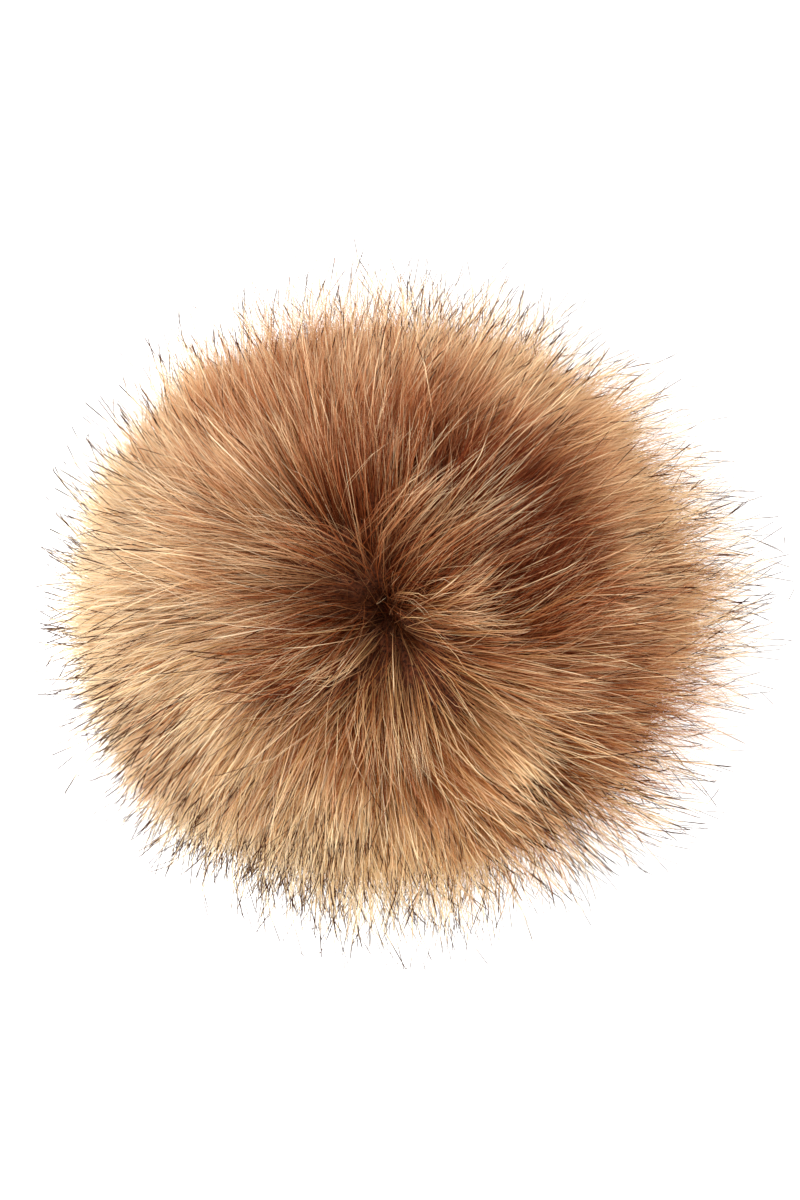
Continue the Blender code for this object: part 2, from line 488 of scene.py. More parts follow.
@dataclass
class Pelt:
    """The way the whole pelt lies: its roots, tufts, locks and tints, drawn once for every layer.

    Args:
        form: the ball's form.
        zones: where the fur changes.
        toning: how its tone changes.
        tufts: the small bundles.
        locks: the broad bundles.
        root_share: the share of the reach where the visible hair begins.
        parted_lean: the lean away from the crease of hair next to it.
        parted_fade: how fast that lean fades towards the underside.
        side_droop: the lean that the hair's own weight adds at the sides.
        crease_comb: the angle from the parting within which hair is combed from the crease, not one point.
        upright: the share of the lean that hair on the crease lacks.
        upright_width: how far from the crease some of it is lacking.
        ruffle: how much more the lie varies at the parting.
        ruffle_spread: the angle from the parting within which it does.
        flow: how far the slow pattern turns hair aside.
        patchiness: how strongly dark tips keep to patches.
        patch_limits: the fewest and most dark tips in a patch, against the mean.
        least_tipped: the share of the usual dark tips that the parting has.
        hue_pull: how strongly the hue families keep to their own sides.
        seed: starts the random draws.
    """

    form: BallForm = field(default_factory=BallForm)
    zones: Zones = Zones()
    toning: Toning = Toning()
    tufts: Bundling = TUFTS
    locks: Bundling = LOCKS
    root_share: float = 0.60
    parted_lean: float = math.radians(25)
    parted_fade: float = 4.0
    side_droop: float = math.radians(5)
    crease_comb: float = math.radians(38)
    upright: float = 0.25
    upright_width: float = 4.0 * MM
    ruffle: float = 0.7
    ruffle_spread: float = math.radians(24)
    flow: float = math.radians(5)
    patchiness: float = 0.9
    patch_limits: Span = (0.2, 2.5)
    least_tipped: float = 0.08
    hue_pull: float = 2.2
    seed: int = 7

    # Directions are compared with the bundles in batches of about this many, to spare memory.
    BATCH = 4000

    def __post_init__(self) -> None:
        """Draws the tufts and locks."""
        self.dice = np.random.default_rng(self.seed)
        self.flow_waves = self.waves(count=7, low=2.5, high=6.0)
        self.mottle_waves = self.waves(count=14, low=7.0, high=20.0)
        self.tuft_roots = self.spread(self.tufts)
        self.lock_roots = self.spread(self.locks)
        self.tuft_comb = self.comb(self.tuft_roots, self.tufts.lean_spread, self.tufts.sway_spread)
        self.lock_comb = self.comb(self.lock_roots, self.locks.lean_spread, self.locks.sway_spread)
        self.tuft_pull = self.dice.uniform(*self.tufts.pull, self.tufts.count)
        self.lock_pull = self.dice.uniform(*self.locks.pull, self.locks.count)
        self.tuft_tone = self.dice.normal(0.0, self.tufts.tone_spread, self.tufts.count)
        self.lock_tone = self.dice.normal(0.0, self.locks.tone_spread, self.locks.count)
        self.tuft_length = self.dice.normal(0.0, self.tufts.length_spread, self.tufts.count)
        self.lock_length = self.dice.normal(0.0, self.locks.length_spread, self.locks.count)

    def waves(self, count: int, low: float, high: float) -> Waves:
        """Draws plane waves that add up to a soft random pattern over the ball.

        Args:
            count: how many.
            low: the least number of radians that a wave runs through in one radius.
            high: the most.

        Returns:
            The waves' directions times their numbers, and their phases.
        """
        ways = unit(self.dice.normal(0.0, 1.0, (count, 3))) * self.dice.uniform(low, high, (count, 1))
        return ways, self.dice.uniform(0.0, FULL_TURN, count)

    def pattern(self, roots: np.ndarray, waves: Waves) -> np.ndarray:
        """The pattern's height at each root, mostly from -1 to 1."""
        return np.sin(roots @ waves[0].T + waves[1]).sum(axis=1) / math.sqrt(len(waves[1]))

    def spread(self, bundles: Bundling) -> np.ndarray:
        """Directions spread evenly over the ball, each moved a little at random.

        Args:
            bundles: how many, and how far each may move.

        Returns:
            The directions.
        """
        number = np.arange(bundles.count)
        height = 1.0 - 2.0 * (number + 0.5) / bundles.count
        around = number * GOLDEN_ANGLE
        flat = np.sqrt(1.0 - height * height)
        even = np.stack([flat * np.cos(around), flat * np.sin(around), height], axis=-1)
        spacing = math.sqrt(2.0 * FULL_TURN / bundles.count)
        return unit(even + self.dice.normal(0.0, 0.5 * bundles.jitter * spacing, even.shape))

    def comb(self, roots: np.ndarray, lean_spread: float, sway_spread: float) -> Comb:
        """How hair with these roots lies.

        Args:
            roots: directions of the roots.
            lean_spread: how much the lean varies.
            sway_spread: how much the sway varies.

        Returns:
            The lie of each.
        """
        near, distance = self.form.off_crease(roots)
        angle = self.form.from_parting(roots)
        on_top = roots[:, 2] > 0.0
        local = (np.exp(-((angle / self.crease_comb) ** 2)) * on_top)[:, None]
        from_where = unit(near * local + self.form.axis() * (1.0 - local))
        combed = unit(roots * dots(roots, from_where)[:, None] - from_where)
        across = unit(np.cross(roots, combed))
        lean = self.parted_lean * np.cos(angle / 2.0) ** self.parted_fade
        lean = lean + self.side_droop * np.sin(angle) ** 2
        lean = lean * (1.0 - self.upright + self.upright * eased(distance, 0.0, self.upright_width))
        loose = 1.0 + self.ruffle * np.exp(-((angle / self.ruffle_spread) ** 2))
        lean = lean + self.dice.normal(0.0, lean_spread, len(roots)) * loose
        sway = self.flow * self.pattern(roots, self.flow_waves) * eased(angle, *self.zones.flowing)
        sway = sway + self.dice.normal(0.0, sway_spread, len(roots)) * loose
        return Comb(roots, combed, across, lean, sway)

    def nearest(self, roots: np.ndarray, among: np.ndarray) -> np.ndarray:
        """The number of the nearest direction among some, for each root."""
        batches = np.array_split(np.arange(len(roots)), max(1, len(roots) // self.BATCH))
        return np.concatenate([np.argmax(roots[rows] @ among.T, axis=1) for rows in batches])

    def darkness(self, roots: np.ndarray) -> np.ndarray:
        """How common dark tips are: few near the parting, more at the lower left.

        Args:
            roots: directions of the roots.

        Returns:
            Their number against the mean, for each root.
        """
        round_about = self.form.round_the_side(roots, self.form.dark_tip_share)
        mottled = 1.0 + self.patchiness * self.pattern(roots, self.mottle_waves)
        patches = np.clip(mottled, *self.patch_limits)
        outwards = eased(self.form.from_parting(roots), *self.zones.tipped)
        return round_about * patches * (self.least_tipped + (1.0 - self.least_tipped) * outwards)

    def tints(self, roots: np.ndarray, loose: float) -> np.ndarray:
        """Draws each hair's hue family, which depends mostly on its side of the ball.

        Args:
            roots: directions of the roots.
            loose: how freely the draw is made.

        Returns:
            The family's number for each root.
        """
        azimuth = np.arctan2(roots[:, 1], roots[:, 0])
        peaks = np.radians([PALETTE[tint].azimuth for tint in Tint])
        shy = np.array([PALETTE[tint].off_crown for tint in Tint])
        crown = 1.0 - eased(self.form.from_parting(roots), *self.zones.hued)
        weight = self.hue_pull * np.cos(azimuth[:, None] - peaks[None, :]) - shy[None, :] * crown[:, None]
        weight = weight + self.dice.gumbel(0.0, loose, (len(roots), len(Tint)))
        return np.argmax(weight, axis=1)


@dataclass
class Hairs:
    """What is drawn for each hair before its shape.

    Args:
        roots: directions of the roots from the ball's middle.
        tuft: the number of each hair's tuft.
        lock: the number of its lock.
        dark: whether it has a dark tip.
    """

    roots: np.ndarray
    tuft: np.ndarray
    lock: np.ndarray
    dark: np.ndarray


@dataclass
class Strands:
    """The shapes and colours of hairs.

    Args:
        middles: a row of points for each hair.
        shares: where these points lie along the hair, as shares of its length.
        along: where they lie along the colour map.
        across: each hair's place across that map.
    """

    middles: np.ndarray
    shares: np.ndarray
    along: np.ndarray
    across: np.ndarray

    def picked(self, rows: np.ndarray) -> "Strands":
        """The same values for chosen rows."""
        return Strands(self.middles[rows], self.shares[rows], self.along[rows], self.across[rows])


@dataclass
class HairLayer:
    """One kind of hair: how many there are, how long and thick, how frizzy and how dark at the tips.

    Args:
        layer: which kind.
        count: how many hairs.
        points: points along each hair.
        ends: the shortest and longest share of the reach.
        ends_skew: over 1 where most hairs are short.
        dark_extra: how much further hairs with dark tips reach.
        width: of a hair at its middle.
        tip_width: of a hair just before its point.
        dark_width: of a dark tip, as a share of the hair's width.
        tuft_pull: how strongly hairs gather into tufts.
        lean_spread: how much the lean of single hairs varies.
        sway_spread: how much their sway varies.
        bend: how far a tip curls to one side.
        frizz: how far a hair waves off its line.
        tone: the mean tone, from 0 at the darkest to 1 at the palest.
        tone_spread: how much the tone of single hairs varies.
        pale_and_highlit_strands: the share of hairs that are much paler, partly paler hairs and partly painted
            highlights.
        dark_tips: the share of hairs with dark tips.
        follows_dense: how far the hair's length follows the underfur's outline.
        tuft_contrast: how far the tufts and locks differ in tone.
        length_contrast: how far they differ in length.
        pieces: how many meshes the layer is joined into.
        seed: starts the random draws.
        cone: the angle from the parting within which the hair grows.
        rim_thinned: the share of the hairs left out away from the parting.
    """

    layer: Layer
    count: int
    points: int
    ends: Span
    ends_skew: float
    dark_extra: float
    width: float
    tip_width: float
    dark_width: float
    tuft_pull: float
    lean_spread: float
    sway_spread: float
    bend: float
    frizz: float
    tone: float
    tone_spread: float
    pale_and_highlit_strands: float
    dark_tips: float
    follows_dense: float
    tuft_contrast: float
    length_contrast: float
    pieces: int
    seed: int
    cone: float = math.pi
    rim_thinned: float = 0.0

    # Along the colour map: where the light part ends, and where a dark tip has its full colour.
    LIGHT_PART = 0.84
    DARK_PART = 0.96
    # The map's margin, and half the width that a hair takes up across it.
    MAP_MARGIN = 0.01
    MAP_HALF = 0.003
    # A hue family's band of the map is used from this share of it, over that share.
    BAND_START = 0.03
    BAND_WIDTH = 0.94
    # Hairs left out underneath: over which heights, how many, and how many more where the ball rests.
    LOW_SPAN = (0.0, 0.5)
    LOW_THINNED = 0.35
    RESTING_HEIGHT = 0.8
    RESTING_THINNED = 0.2
    # Points crowd towards the tip by this power, and a light hair's own point has this share of a step.
    STATION_CURVE = 0.8
    POINT_STEP = 0.6
    # A dark tip's shortest and longest share of the hair, and its own point's share of the tip.
    TIP_SHARE = (0.12, 0.30)
    TIP_POINT = 0.2
    # The pull of tufts and locks: how much more at the crown, the strongest, and its growth along the hair.
    CROWN_PULL = 0.35
    STRONGEST_PULL = 0.95
    TUFT_CURVE = 1.3
    LOCK_CURVE = 1.6
    # A hair that stands this far free strays in full, and a shorter or middle one by at least this share.
    FREE_LENGTH = 18.0 * MM
    LEAST_ROOM = 0.15
    # How curl and frizz grow along the hair, and the fewest and most waves in it.
    CURL_CURVE = 2.2
    FRIZZ_CURVE = 0.5
    FRIZZ_WAVES = (0.4, 1.2)
    # How high the lowest hair lies, how freely hues are drawn, and how thickness varies and tapers.
    FLOOR_GAP = 0.15 * MM
    HUE_FREEDOM = 1.1
    THICKNESS = (0.7, 1.3)
    TAPERED_PART = 0.75

    def grow(self, pelt: Pelt, material: bpy.types.Material) -> list[bpy.types.Object]:
        """Builds and dresses the layer's meshes.

        Args:
            pelt: the way the pelt lies.
            material: the finish.

        Returns:
            The pieces.
        """
        self.dice = np.random.default_rng(self.seed)
        roots = self.roots(pelt)
        tuft = pelt.nearest(roots, pelt.tuft_roots)
        lock = pelt.nearest(roots, pelt.lock_roots)
        dark = self.dice.random(len(roots)) < self.dark_tips * pelt.darkness(roots)
        hairs = Hairs(roots, tuft, lock, dark)
        shares, along = self.stations(dark)
        middles = self.lie(pelt, hairs, shares)
        strands = Strands(middles, shares, along, self.map_places(pelt, hairs))
        made = []
        for number, rows in enumerate(np.array_split(np.arange(len(roots)), self.pieces), 1):
            made.append(self.ribbons(f"{self.layer.value}_{number}", strands.picked(rows), material))
        return made

    def roots(self, pelt: Pelt) -> np.ndarray:
        """Directions of the roots: even over the ball or round the parting, and thinned out underneath.

        Args:
            pelt: the way the pelt lies.

        Returns:
            The directions.
        """
        height = self.dice.uniform(math.cos(self.cone), 1.0, self.count * 2)
        resting = height < -self.RESTING_HEIGHT
        kept_share = 1.0 - self.LOW_THINNED * eased(-height, *self.LOW_SPAN) - self.RESTING_THINNED * resting
        kept_share = kept_share * (1.0 - self.rim_thinned * eased(np.arccos(height), *pelt.zones.thinned))
        kept = self.dice.random(len(height)) < kept_share
        height = height[kept][: self.count]
        around = self.dice.uniform(0.0, FULL_TURN, len(height))
        flat = np.sqrt(1.0 - height * height)
        ways = np.stack([flat * np.cos(around), flat * np.sin(around), height], axis=-1)
        if self.cone < math.pi:
            ways = unit(ways + pelt.form.axis() - UP)
        return ways

    def stations(self, dark: np.ndarray) -> tuple[np.ndarray, np.ndarray]:
        """Where the points lie along each hair, and along the colour map.

        Args:
            dark: which hairs have dark tips.

        Returns:
            Shares of the length, and places along the map, which past LIGHT_PART are dark tip.
        """
        count = len(dark)
        even = np.linspace(0.0, 1.0, self.points - 1)[None, :] ** self.STATION_CURVE
        light_end = 1.0 - self.POINT_STEP / self.points
        light = np.repeat(np.append(even * light_end, 1.0)[None, :], count, axis=0)
        below = np.linspace(0.0, 1.0, self.points - 2)[None, :] ** self.STATION_CURVE
        tip = self.dice.uniform(*self.TIP_SHARE, count)[:, None]
        rows = [below * (1.0 - tip), 1.0 - self.TIP_POINT * tip, np.ones((count, 1))]
        tipped = np.concatenate(rows, axis=1)
        tipped_map = np.append(below * self.LIGHT_PART, (self.DARK_PART, 1.0))[None, :]
        shares = np.where(dark[:, None], tipped, light)
        along = np.where(dark[:, None], tipped_map, light * self.LIGHT_PART)
        return shares, along

    def reached(self, pelt: Pelt, hairs: Hairs) -> np.ndarray:
        """Draws how far each hair reaches.

        Args:
            pelt: the way the pelt lies.
            hairs: the hairs.

        Returns:
            The share of the reach at which each ends.
        """
        form = pelt.form
        low, high = self.ends
        ends = low + (high - low) * self.dice.random(len(hairs.roots)) ** self.ends_skew
        of_bundles = pelt.tuft_length[hairs.tuft] + pelt.lock_length[hairs.lock]
        ends = ends + of_bundles * self.length_contrast
        ends = ends + np.where(hairs.dark, self.dark_extra, 0.0)
        dense = form.round_the_side(hairs.roots, form.underfur_share) - form.usual_share
        return ends + dense * self.follows_dense * (1.0 - hairs.roots[:, 2] ** 2)

    def lie(self, pelt: Pelt, hairs: Hairs, shares: np.ndarray) -> np.ndarray:
        """The points of every hair, as it gathers into its tuft and lock and strays off its line.

        Args:
            pelt: the way the pelt lies.
            hairs: the hairs.
            shares: shares of the length, a row for each hair.

        Returns:
            A row of points for each hair.
        """
        form, zones = pelt.form, pelt.zones
        starts = form.skin(hairs.roots, pelt.root_share)
        ends = self.reached(pelt, hairs)
        angle = form.from_parting(hairs.roots)
        own = pelt.comb(hairs.roots, self.lean_spread, self.sway_spread)
        middles = own.middles(form, shares, starts, ends)
        crown = 1.0 - eased(angle, *zones.tufted)
        tufts = pelt.tuft_comb.picked(hairs.tuft)
        pull = pelt.tuft_pull[hairs.tuft] * self.tuft_pull * (1.0 + self.CROWN_PULL * crown)
        pull = np.clip(pull, 0.0, self.STRONGEST_PULL) * own.agreement(tufts)
        towards = tufts.middles(form, shares, starts, ends) - middles
        middles = middles + towards * (pull[:, None] * shares**self.TUFT_CURVE)[..., None]
        locks = pelt.lock_comb.picked(hairs.lock)
        pull = pelt.lock_pull[hairs.lock] * min(self.tuft_pull, 1.0) * own.agreement(locks)
        towards = locks.middles(form, shares, starts, ends) - middles
        middles = middles + towards * (pull[:, None] * shares**self.LOCK_CURVE)[..., None]
        free = (form.reach(hairs.roots) * ends - starts) / self.FREE_LENGTH
        room = np.clip(free, self.LEAST_ROOM, 1.0)
        room = room * (self.LEAST_ROOM + (1.0 - self.LEAST_ROOM) * eased(angle, *zones.roomy))
        middles = form.held_in(middles + self.wander(own, shares) * room[:, None, None])
        return form.settled(middles, self.FLOOR_GAP)

    def wander(self, own: Comb, shares: np.ndarray) -> np.ndarray:
        """Draws how far each point strays from the combed line, by curl and frizz.

        Args:
            own: the lie of the hairs.
            shares: shares of the length, a row for each hair.

        Returns:
            The way that each point strays.
        """
        count = len(shares)
        made = np.zeros((*shares.shape, 3))
        for side in (own.combed, own.across):
            curl = self.dice.normal(0.0, self.bend, count)[:, None] * shares**self.CURL_CURVE
            waves = self.dice.uniform(*self.FRIZZ_WAVES, count)[:, None]
            phase = self.dice.uniform(0.0, FULL_TURN, count)[:, None]
            waving = np.sin(FULL_TURN * waves * shares + phase)
            wave = self.dice.normal(0.0, self.frizz, count)[:, None] * waving
            made += side[:, None, :] * (curl + wave * shares**self.FRIZZ_CURVE)[..., None]
        return made

    def tones(self, pelt: Pelt, hairs: Hairs) -> np.ndarray:
        """Draws each hair's tone.

        Args:
            pelt: the way the pelt lies.
            hairs: the hairs.

        Returns:
            The tones, mostly from 0 at the darkest to 1 at the palest.
        """
        form, zones, toning = pelt.form, pelt.zones, pelt.toning
        count = len(hairs.roots)
        angle = form.from_parting(hairs.roots)
        middle = 1.0 - eased(angle, *zones.middle)
        crown = 1.0 - eased(angle, *zones.crown)
        rim = eased(angle, *zones.rim)
        # The rise leaves hair near the parting darker, partly its own colour and partly painted shade in the
        # dimple.
        tone = self.tone + toning.parting + toning.rise * eased(angle, *zones.rise)
        gathered = (pelt.tuft_tone[hairs.tuft] + pelt.lock_tone[hairs.lock]) * self.tuft_contrast
        tone = tone + gathered * (1.0 + toning.crown_tufts * crown - toning.rim_tufts * rim)
        spread = self.tone_spread * (1.0 - toning.rim_spread * rim)
        tone = tone + self.dice.normal(0.0, 1.0, count) * spread
        tone = tone + toning.mottle * pelt.pattern(hairs.roots, pelt.mottle_waves)
        _, from_crease = form.off_crease(hairs.roots)
        on_top = hairs.roots[:, 2] > 0.0
        # Painted shade: hair rooted on the crease is darkened.
        tone = tone + toning.crease * (1.0 - eased(from_crease, *zones.crease)) * on_top
        # Painted shade darkens the middle of the parting, and painted light pales the hair near the widest
        # level.
        tone = tone + toning.crown * crown + toning.middle * middle + toning.edge * eased(angle, *zones.edge)
        off_axis = hairs.roots - form.axis()
        # These tables are partly the fur's own tone and partly painted light and shade round the ball.
        tone = tone + form.round_the_side(off_axis, form.crown_tone_and_light) * crown
        tone = tone + form.round_the_side(off_axis, form.shoulder_tone_and_light) * (1.0 - crown) * (1.0 - rim)
        tone = tone + form.round_the_side(off_axis, form.rim_tone_and_light) * rim
        # Light strands: partly paler hairs and partly a painted highlight along the hair.
        light = self.dice.random(count) < self.pale_and_highlit_strands * (1.0 - middle)
        return tone + toning.pale_and_highlit_strand * light + toning.dark_tipped * hairs.dark

    def map_places(self, pelt: Pelt, hairs: Hairs) -> np.ndarray:
        """Each hair's place across the colour map: its hue family's band, and its tone within that.

        Args:
            pelt: the way the pelt lies.
            hairs: the hairs.

        Returns:
            A place from 0 to 1 for each hair.
        """
        tone = np.clip(self.tones(pelt, hairs), 0.0, 1.0)
        band = pelt.tints(hairs.roots, self.HUE_FREEDOM)
        return (band + self.BAND_START + self.BAND_WIDTH * tone) / len(Tint)

    def edges(self, strands: Strands) -> np.ndarray:
        """The corners of the ribbons: two for each point of a hair, and one at its tip.

        Args:
            strands: the hairs.

        Returns:
            A row of corners for each hair.
        """
        middles = strands.middles
        count, points = middles.shape[:2]
        tangents = unit(np.gradient(middles, axis=1))
        facing = unit(self.dice.normal(0.0, 1.0, (count, 1, 3)))
        aside = unit(np.cross(tangents, facing))
        thick = self.width * self.dice.uniform(*self.THICKNESS, count)[:, None]
        taper = eased(1.0 - strands.shares, 0.0, self.TAPERED_PART)
        dark = strands.along[:, -1:] > self.LIGHT_PART
        last = np.where(dark, self.dark_width * thick, self.tip_width)
        half = 0.5 * (last + (thick - last) * taper)[..., None]
        places = np.empty((count, 2 * points - 1, 3))
        places[:, 0:-1:2] = (middles - aside * half)[:, :-1]
        places[:, 1:-1:2] = (middles + aside * half)[:, :-1]
        places[:, -1] = middles[:, -1]
        return places

    def faces(self, count: int, points: int) -> tuple[np.ndarray, np.ndarray]:
        """The faces of the ribbons: a quad for each step along a hair, and a triangle at its tip.

        Args:
            count: the number of hairs.
            points: the number of points along each.

        Returns:
            The numbers of the corners, face after face, and where each face begins among them.
        """
        corners_each = 2 * points - 1
        quads = [(2 * k, 2 * k + 1, 2 * k + 3, 2 * k + 2) for k in range(points - 2)]
        tip = (corners_each - 3, corners_each - 2, corners_each - 1)
        pattern = np.append(np.array(quads).ravel(), tip)
        hair = np.arange(count)[:, None]
        corners = (hair * corners_each + pattern[None, :]).ravel()
        begins = (hair * len(pattern) + 4 * np.arange(points - 1)[None, :]).ravel()
        return corners, begins

    def on_map(self, strands: Strands) -> np.ndarray:
        """The ribbon corners' places on the colour map.

        Args:
            strands: the hairs.

        Returns:
            Across and along, for each corner.
        """
        along, points = strands.along, strands.along.shape[1]
        sides = np.append(np.tile((-self.MAP_HALF, self.MAP_HALF), points - 1), 0.0)
        across = strands.across[:, None] + sides[None, :]
        up = np.concatenate([np.repeat(along[:, :-1], 2, axis=1), along[:, -1:]], axis=1)
        up = self.MAP_MARGIN + (1.0 - 2.0 * self.MAP_MARGIN) * up
        return np.stack([across, up], axis=-1).reshape(-1, 2)

    def ribbons(self, name: str, strands: Strands, material: bpy.types.Material) -> bpy.types.Object:
        """Joins hairs into one mesh of flat tapered ribbons.

        Args:
            name: the piece's name.
            strands: the hairs.
            material: the finish.

        Returns:
            The piece.
        """
        count, points = strands.middles.shape[:2]
        places = self.edges(strands).astype(np.float32)
        corners, begins = self.faces(count, points)
        maps = self.on_map(strands)[corners].astype(np.float32)
        mesh = bpy.data.meshes.new(name)
        mesh.vertices.add(places.shape[0] * places.shape[1])
        mesh.vertices.foreach_set("co", places.ravel())
        mesh.loops.add(len(corners))
        mesh.loops.foreach_set("vertex_index", corners.astype(np.int32))
        mesh.polygons.add(len(begins))
        mesh.polygons.foreach_set("loop_start", begins.astype(np.int32))
        mesh.polygons.foreach_set("use_smooth", np.ones(len(begins), bool))
        mesh.update(calc_edges=True)
        mesh.uv_layers.new(name=MAP_NAME).data.foreach_set("uv", maps.ravel())
        mesh.materials.append(material)
        piece = bpy.data.objects.new(name, mesh)
        bpy.context.scene.collection.objects.link(piece)
        return piece


@dataclass(frozen=True)
class HairFinish:
    """The finish of the hair: coloured by its map, half letting light through.

    Args:
        name: the material's name.
        root_colour_and_shade: what the hair's colour is multiplied by at the root, partly the roots' own
            darker colour and partly painted shade deep in the pile.
        mid_colour_and_shade: the same halfway to the place of its full colour.
        shaded_part: where along the map the root's darkening, partly painted shade, ends, and where the full
            colour begins.
        pale_end: the cream that the hair fades to below its tip.
        pale_share: how far the palest hairs fade to it.
        paling_part: where along the map that fade begins and ends.
        pale_power: the power of the tone by which darker hairs fade less.
        tip_colour: the dark tips' colour, in linear light.
        tipping_part: where along the map the dark tips' colour begins and is full.
        roughness: of the shine.
        shine: the specular level.
        glow: how much of the light goes through a hair.
    """

    name: str
    root_colour_and_shade: Colour = (0.24, 0.1392, 0.1056, 1.0)
    mid_colour_and_shade: Colour = (0.62, 0.496, 0.403, 1.0)
    shaded_part: Span = (0.18, 0.80)
    pale_end: Colour = (0.88, 0.70, 0.45, 1.0)
    pale_share: float = 0.84
    paling_part: Span = (0.58, 0.82)
    pale_power: float = 2.0
    tip_colour: Colour = (0.050, 0.017, 0.009, 1.0)
    tipping_part: Span = (0.845, 0.89)
    roughness: float = 0.42
    shine: float = 0.04
    glow: float = 0.5

    def material(self) -> bpy.types.Material:
        """Builds the material.

        Returns:
            The material.
        """
        material = bpy.data.materials.new(self.name)
        material.use_nodes = True
        nodes = material.node_tree.nodes
        nodes.clear()
        place = nodes.new("ShaderNodeUVMap")
        place.uv_map = MAP_NAME
        parts = nodes.new("ShaderNodeSeparateXYZ")
        material.node_tree.links.new(place.outputs["UV"], parts.inputs["Vector"])
        across, along = parts.outputs["X"], parts.outputs["Y"]
        bands = self.math(material, "MULTIPLY", across, float(len(Tint)))
        tone = self.math(material, "FRACT", bands, 0.0)
        colour = self.hue(material, bands, tone)
        # Darker towards the root: partly the roots' own colour and partly painted shade deep in the pile.
        low, high = self.shaded_part
        stops = ((low, self.root_colour_and_shade), (0.5 * (low + high), self.mid_colour_and_shade), (high, WHITE))
        colour = self.mix(material, "MULTIPLY", 1.0, colour, self.ramp(material, along, stops))
        low, high = self.paling_part
        fade = self.ramp(material, along, ((low, BLACK), (high, (self.pale_share,) * 4)))
        keen = self.math(material, "POWER", tone, self.pale_power)
        fade = self.mix(material, "MULTIPLY", 1.0, fade, keen)
        colour = self.mix(material, "MIX", fade, colour, self.pale_end)
        low, high = self.tipping_part
        tip = self.ramp(material, along, ((low, BLACK), (high, WHITE)))
        colour = self.mix(material, "MIX", tip, colour, self.tip_colour)
        self.shade_with(material, colour)
        return material

    def hue(
        self, material: bpy.types.Material, bands: bpy.types.NodeSocket, tone: bpy.types.NodeSocket
    ) -> bpy.types.NodeSocket:
        """Adds the hue families' tones, each in its own band of the colour map.

        Args:
            material: the material that the nodes are added to.
            bands: the place across the map, counted in bands.
            tone: the place within a band.

        Returns:
            The hair's colour by family and tone.
        """
        colour = None
        for tint in Tint:
            colours = PALETTE[tint]
            stops = ((0.0, colours.dusky), (0.5, colours.middle), (1.0, colours.pale))
            ramp = self.ramp(material, tone, stops)
            if colour is None:
                colour = ramp
                continue
            past = self.math(material, "GREATER_THAN", bands, float(tint.value))
            colour = self.mix(material, "MIX", past, colour, ramp)
        return colour

    def math(
        self, material: bpy.types.Material, kind: str, first: bpy.types.NodeSocket, second: float
    ) -> bpy.types.NodeSocket:
        """Adds a math node of one linked and one plain value.

        Args:
            material: the material that the node is added to.
            kind: the operation.
            first: the linked value.
            second: the plain value.

        Returns:
            The result.
        """
        node = material.node_tree.nodes.new("ShaderNodeMath")
        node.operation = kind
        node.inputs[1].default_value = second
        material.node_tree.links.new(first, node.inputs[0])
        return node.outputs["Value"]

    def ramp(
        self,
        material: bpy.types.Material,
        source: bpy.types.NodeSocket,
        stops: tuple[tuple[float, Colour], ...],
    ) -> bpy.types.NodeSocket:
        """Adds a colour ramp.

        Args:
            material: the material that the node is added to.
            source: the value that the ramp is read at.
            stops: places along the ramp and their colours.

        Returns:
            The colour.
        """
        node = material.node_tree.nodes.new("ShaderNodeValToRGB")
        band = node.color_ramp
        while len(band.elements) < len(stops):
            band.elements.new(0.5)
        for element, (place, colour) in zip(band.elements, stops):
            element.position = place
            element.color = colour
        material.node_tree.links.new(source, node.inputs["Fac"])
        return node.outputs["Color"]

    def mix(
        self,
        material: bpy.types.Material,
        kind: str,
        share: bpy.types.NodeSocket | float,
        first: bpy.types.NodeSocket,
        second: bpy.types.NodeSocket | Colour,
    ) -> bpy.types.NodeSocket:
        """Adds a colour mix.

        Args:
            material: the material that the node is added to.
            kind: how the colours are mixed.
            share: how far.
            first: the colour below.
            second: the colour above.

        Returns:
            The mixed colour.
        """
        node = material.node_tree.nodes.new("ShaderNodeMix")
        node.data_type = "RGBA"
        node.blend_type = kind
        links = material.node_tree.links
        for socket, value in ((node.inputs[0], share), (node.inputs[6], first), (node.inputs[7], second)):
            if isinstance(value, bpy.types.NodeSocket):
                links.new(value, socket)
            else:
                socket.default_value = value
        return node.outputs[2]

    def shade_with(self, material: bpy.types.Material, colour: bpy.types.NodeSocket) -> None:
        """Adds the shaders and the output.

        Args:
            material: the material that the nodes are added to.
            colour: the hair's colour.
        """
        nodes, links = material.node_tree.nodes, material.node_tree.links
        surface = nodes.new("ShaderNodeBsdfPrincipled")
        surface.inputs["Roughness"].default_value = self.roughness
        surface.inputs["Specular IOR Level"].default_value = self.shine
        through = nodes.new("ShaderNodeBsdfTranslucent")
        both = nodes.new("ShaderNodeMixShader")
        both.inputs[0].default_value = self.glow
        output = nodes.new("ShaderNodeOutputMaterial")
        links.new(colour, surface.inputs["Base Color"])
        links.new(colour, through.inputs["Color"])
        links.new(surface.outputs[0], both.inputs[1])
        links.new(through.outputs[0], both.inputs[2])
        links.new(both.outputs[0], output.inputs["Surface"])


